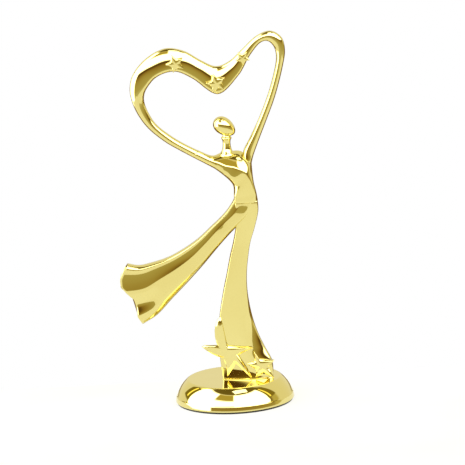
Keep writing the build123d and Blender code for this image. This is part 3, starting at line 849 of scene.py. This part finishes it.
def makeFloor():
    look = stageLook
    side, front, back = look["floorSide"], look["floorFront"], look["floorBack"]
    corners = [(-side, front, 0), (side, front, 0), (side, back, 0), (-side, back, 0)]
    floor = meshObject("studioTable", corners, [(0, 1, 2, 3)], False)
    material, tree = newMaterial("whiteTableTop")
    matt = addNode(tree, "ShaderNodeBsdfDiffuse", {"Color": linearFromHex(look["floor"])})
    place = addNode(tree, "ShaderNodeTexCoord")
    # soft clouds that make the table's painted glow a little uneven
    cloud = addNode(tree, "ShaderNodeTexNoise", {"Scale": 1 / look["cloudSize"], "Detail": 2.0},
                    Vector=(place, "Object"))
    parts = addNode(tree, "ShaderNodeSeparateXYZ", Vector=(place, "Object"))
    away = addNode(tree, "ShaderNodeMapRange", {"From Min": look["fadeStart"],
                                                "From Max": look["floorFront"]}, Value=(parts, 1))
    paler = addNode(tree, "ShaderNodeMath", {"operation": "MULTIPLY_ADD", 1: look["cloudShare"],
                                             2: -look["cloudShare"] / 2}, i0=(cloud, 0))
    share = addNode(tree, "ShaderNodeMath", {"operation": "ADD", "use_clamp": True},
                    i0=(away, 0), i1=(paler, 0))
    # the table's painted light: its own glow, near-white by the figure and creamier towards the front
    glowTone = addNode(tree, "ShaderNodeMix", {"data_type": "RGBA", 6: linearFromHex(look["glowNear"]),
                                           7: linearFromHex(look["glowFar"])}, Factor=(share, 0))
    glow = addNode(tree, "ShaderNodeEmission", Color=(glowTone, 2))
    both = addNode(tree, "ShaderNodeMixShader", {0: look["glow"]}, i1=(matt, 0), i2=(glow, 0))
    addNode(tree, "ShaderNodeOutputMaterial", Surface=(both, 0))
    floor.data.materials.append(material)


def makeStudioWorld():
    # an olive room with the patches laid over it, pale behind and white above the viewer and to the left
    world = bpy.data.worlds.new("studio")
    bpy.context.scene.world = world
    world.use_nodes = True
    tree = world.node_tree
    tree.nodes.clear()
    direction = addNode(tree, "ShaderNodeTexCoord")
    parts = addNode(tree, "ShaderNodeSeparateXYZ", Vector=(direction, "Generated"))
    perRadian = 180 / math.pi
    rise = addNode(tree, "ShaderNodeMath", {"operation": "ARCSINE"}, i0=(parts, 2))
    height = addNode(tree, "ShaderNodeMath", {"operation": "MULTIPLY", 1: perRadian}, i0=(rise, 0))
    forward = addNode(tree, "ShaderNodeMath", {"operation": "MULTIPLY", 1: -1.0}, i0=(parts, 1))
    swing = addNode(tree, "ShaderNodeMath", {"operation": "ARCTAN2"}, i0=(parts, 0), i1=(forward, 0))
    side = addNode(tree, "ShaderNodeMath", {"operation": "MULTIPLY", 1: perRadian}, i0=(swing, 0))
    # the same angle from 0 to 360, with its seam towards the viewer, so that a patch behind has none in it
    backSwing = addNode(tree, "ShaderNodeMath", {"operation": "ARCTAN2"}, i0=(parts, 0), i1=(parts, 1))
    backAngle = addNode(tree, "ShaderNodeMath", {"operation": "MULTIPLY", 1: -perRadian}, i0=(backSwing, 0))
    sideFromBack = addNode(tree, "ShaderNodeMath", {"operation": "ADD", 1: 180.0}, i0=(backAngle, 0))

    lifted = addNode(tree, "ShaderNodeMath", {"operation": "ADD", 1: 90.0}, i0=(height, 0))
    share = addNode(tree, "ShaderNodeMath", {"operation": "DIVIDE", 1: 180.0}, i0=(lifted, 0))
    ramp = addNode(tree, "ShaderNodeValToRGB", Fac=(share, 0))
    stops = ramp.color_ramp.elements
    firstStops = len(stops)
    for number, (at, code) in enumerate(roomColours):
        position = (at + 90) / 180
        stop = stops[number] if number < firstStops else stops.new(position)
        stop.position = position
        stop.color = linearFromHex(code)
    sky = (ramp, 0)
    for low, high, bottom, top, soft, code, strength in roomPatches:
        across = sideFromBack if high > 180 else side
        edges = []
        sides = [(across, low, 0.0), (across, high, 1.0), (height, bottom, 0.0), (height, top, 1.0)]
        for measure, at, before in sides:
            edges.append(addNode(tree, "ShaderNodeMapRange", {
                "interpolation_type": "SMOOTHSTEP", "From Min": at - soft / 2, "From Max": at + soft / 2,
                "To Min": before, "To Max": 1.0 - before}, Value=(measure, 0)))
        mask = edges[0]
        for edge in edges[1:]:
            mask = addNode(tree, "ShaderNodeMath", {"operation": "MULTIPLY"}, i0=(mask, 0), i1=(edge, 0))
        colour = [c * strength for c in linearFromHex(code)[:3]] + [1.0]
        sky = (addNode(tree, "ShaderNodeMix", {"data_type": "RGBA", 7: colour}, Factor=(mask, 0), i6=sky), 2)
    # straight to the camera the room is plain white
    path = addNode(tree, "ShaderNodeLightPath")
    seen = addNode(tree, "ShaderNodeMix", {"data_type": "RGBA", 7: linearFromHex("#FFFFFF")},
                   Factor=(path, "Is Camera Ray"), i6=sky)
    background = addNode(tree, "ShaderNodeBackground", {"Strength": 1.0}, Color=(seen, 2))
    addNode(tree, "ShaderNodeOutputWorld", Surface=(background, "Background"))


def makeCamera():
    tilt, roll = math.radians(stageLook["elevation"]), math.radians(stageLook["roll"])
    towards = Vector((0, -math.cos(tilt), math.sin(tilt)))
    level, rise = Vector((1, 0, 0)), Vector((0, math.sin(tilt), math.cos(tilt)))
    right = level * math.cos(roll) - rise * math.sin(roll)
    up = level * math.sin(roll) + rise * math.cos(roll)
    data = bpy.data.cameras.new("viewer")
    data.sensor_width = stageLook["sensorWidth"]
    data.lens = stageLook["sensorWidth"] * stageLook["distance"] / (stageLook["frameWidth"] * mm)
    camera = bpy.data.objects.new("viewer", data)
    place = Vector(stageLook["aim"]) * mm + towards * stageLook["distance"]
    camera.matrix_world = Matrix.Translation(place) @ Matrix((right, up, towards)).transposed().to_4x4()
    bpy.context.scene.collection.objects.link(camera)
    bpy.context.scene.camera = camera


def makeSoftLamp():
    # one broad lamp overhead, a little in front: it gives the felt and the table their soft light
    light = bpy.data.lights.new("overheadSoftbox", "AREA")
    light.shape = "RECTANGLE"
    light.size, light.size_y = stageLook["lampSize"]
    light.energy = stageLook["lampPower"]
    lamp = bpy.data.objects.new("overheadSoftbox", light)
    lamp.location = stageLook["lampPlace"]
    lamp.rotation_euler = (-Vector(stageLook["lampPlace"])).to_track_quat("-Z", "Y").to_euler()
    bpy.context.scene.collection.objects.link(lamp)
    lamp.visible_camera = False


makeFloor()
makeStudioWorld()
makeSoftLamp()
makeCamera()
bpy.context.scene.view_settings.view_transform = "Standard"
print("stage: lights and camera set")
